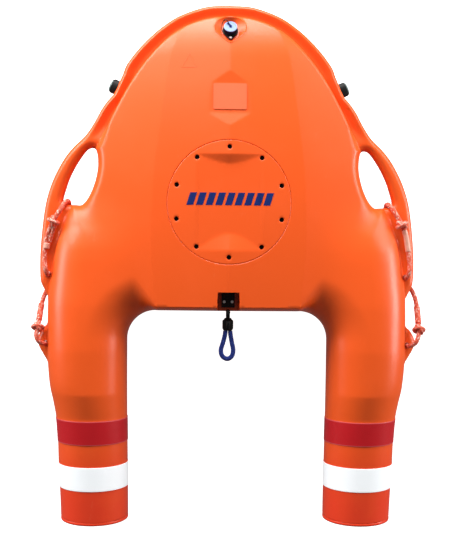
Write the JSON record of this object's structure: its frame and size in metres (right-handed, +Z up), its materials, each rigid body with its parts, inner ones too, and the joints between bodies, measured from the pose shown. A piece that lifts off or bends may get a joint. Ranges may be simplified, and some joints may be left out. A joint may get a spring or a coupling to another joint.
{
  "type": "lifeboat",
  "caption": "Self-propelled U-shaped rescue float with twin leg jets, side hand holds, grab ropes, hatch and bow charging port.",
  "frame": {"origin": "bottom centre of the box round the float, its ropes and cords left out", "axes": "+Y towards the bow, +X to the right side seen from above, +Z up out of the deck"},
  "size_m": [0.8917, 1.177, 0.2043],
  "materials": {
    "orange_polyethylene": "satin, lightly grained moulding skin",
    "black_plastic": "satin moulded",
    "stainless_steel": "brushed",
    "blue_anodised": "anodised, satin",
    "red_reflective_tape": "gloss tape with a woven grid",
    "white_reflective_tape": "gloss tape with a woven grid",
    "orange_rope": "braided, with white reflective flecks",
    "blue_rope": "braided",
    "lamp_lens": "clear, polished",
    "battery_case": "moulded"
  },
  "bodies": {
    "hull": {"hull_upper": "orange_polyethylene", "hull_lower": "orange_polyethylene", "hatch_cover": "orange_polyethylene", "deck_plate": "orange_polyethylene", "battery_pack": "battery_case", "port_flange": "black_plastic", "port_cap": "blue_anodised", "cap_tether": "black_plastic", "tow_bracket": "black_plastic", "lamp_base_left": "black_plastic", "lamp_lens_left": "lamp_lens", "jet_duct_left": "black_plastic", "nozzle_ring_left": "orange_polyethylene", "stator_left": "black_plastic", "motor_left": "stainless_steel", "intake_grille_left": "black_plastic", "red_band_left": "red_reflective_tape", "white_band_left": "white_reflective_tape", "grab_rope_left": "orange_rope", "rope_knot_1_left": "orange_rope", "rope_knot_2_left": "orange_rope", "lamp_base_right": "black_plastic", "lamp_lens_right": "lamp_lens", "jet_duct_right": "black_plastic", "nozzle_ring_right": "orange_polyethylene", "stator_right": "black_plastic", "motor_right": "stainless_steel", "intake_grille_right": "black_plastic", "red_band_right": "red_reflective_tape", "white_band_right": "white_reflective_tape", "grab_rope_right": "orange_rope", "rope_knot_1_right": "orange_rope", "rope_knot_2_right": "orange_rope"},
    "impeller_left": {"impeller_left": "black_plastic"},
    "impeller_right": {"impeller_right": "black_plastic"},
    "tow_loop": {"tow_fork": "black_plastic", "tow_ferrule": "black_plastic", "tow_rope": "blue_rope"}
  },
  "joints": [
    {"name": "impeller_left_spin", "type": "hinge", "parent": "hull", "child": "impeller_left", "pos_m": [-0.3003, -0.484, 0.1], "axis": [0, 1, 0], "continuous": true},
    {"name": "impeller_right_spin", "type": "hinge", "parent": "hull", "child": "impeller_right", "pos_m": [0.3003, -0.484, 0.1], "axis": [0, 1, 0], "continuous": true},
    {"name": "tow_swing", "type": "hinge", "parent": "hull", "child": "tow_loop", "pos_m": [0, -0.1115, 0.1527], "axis": [0, 0, 1], "range_deg": [-45, 45]}
  ]
}
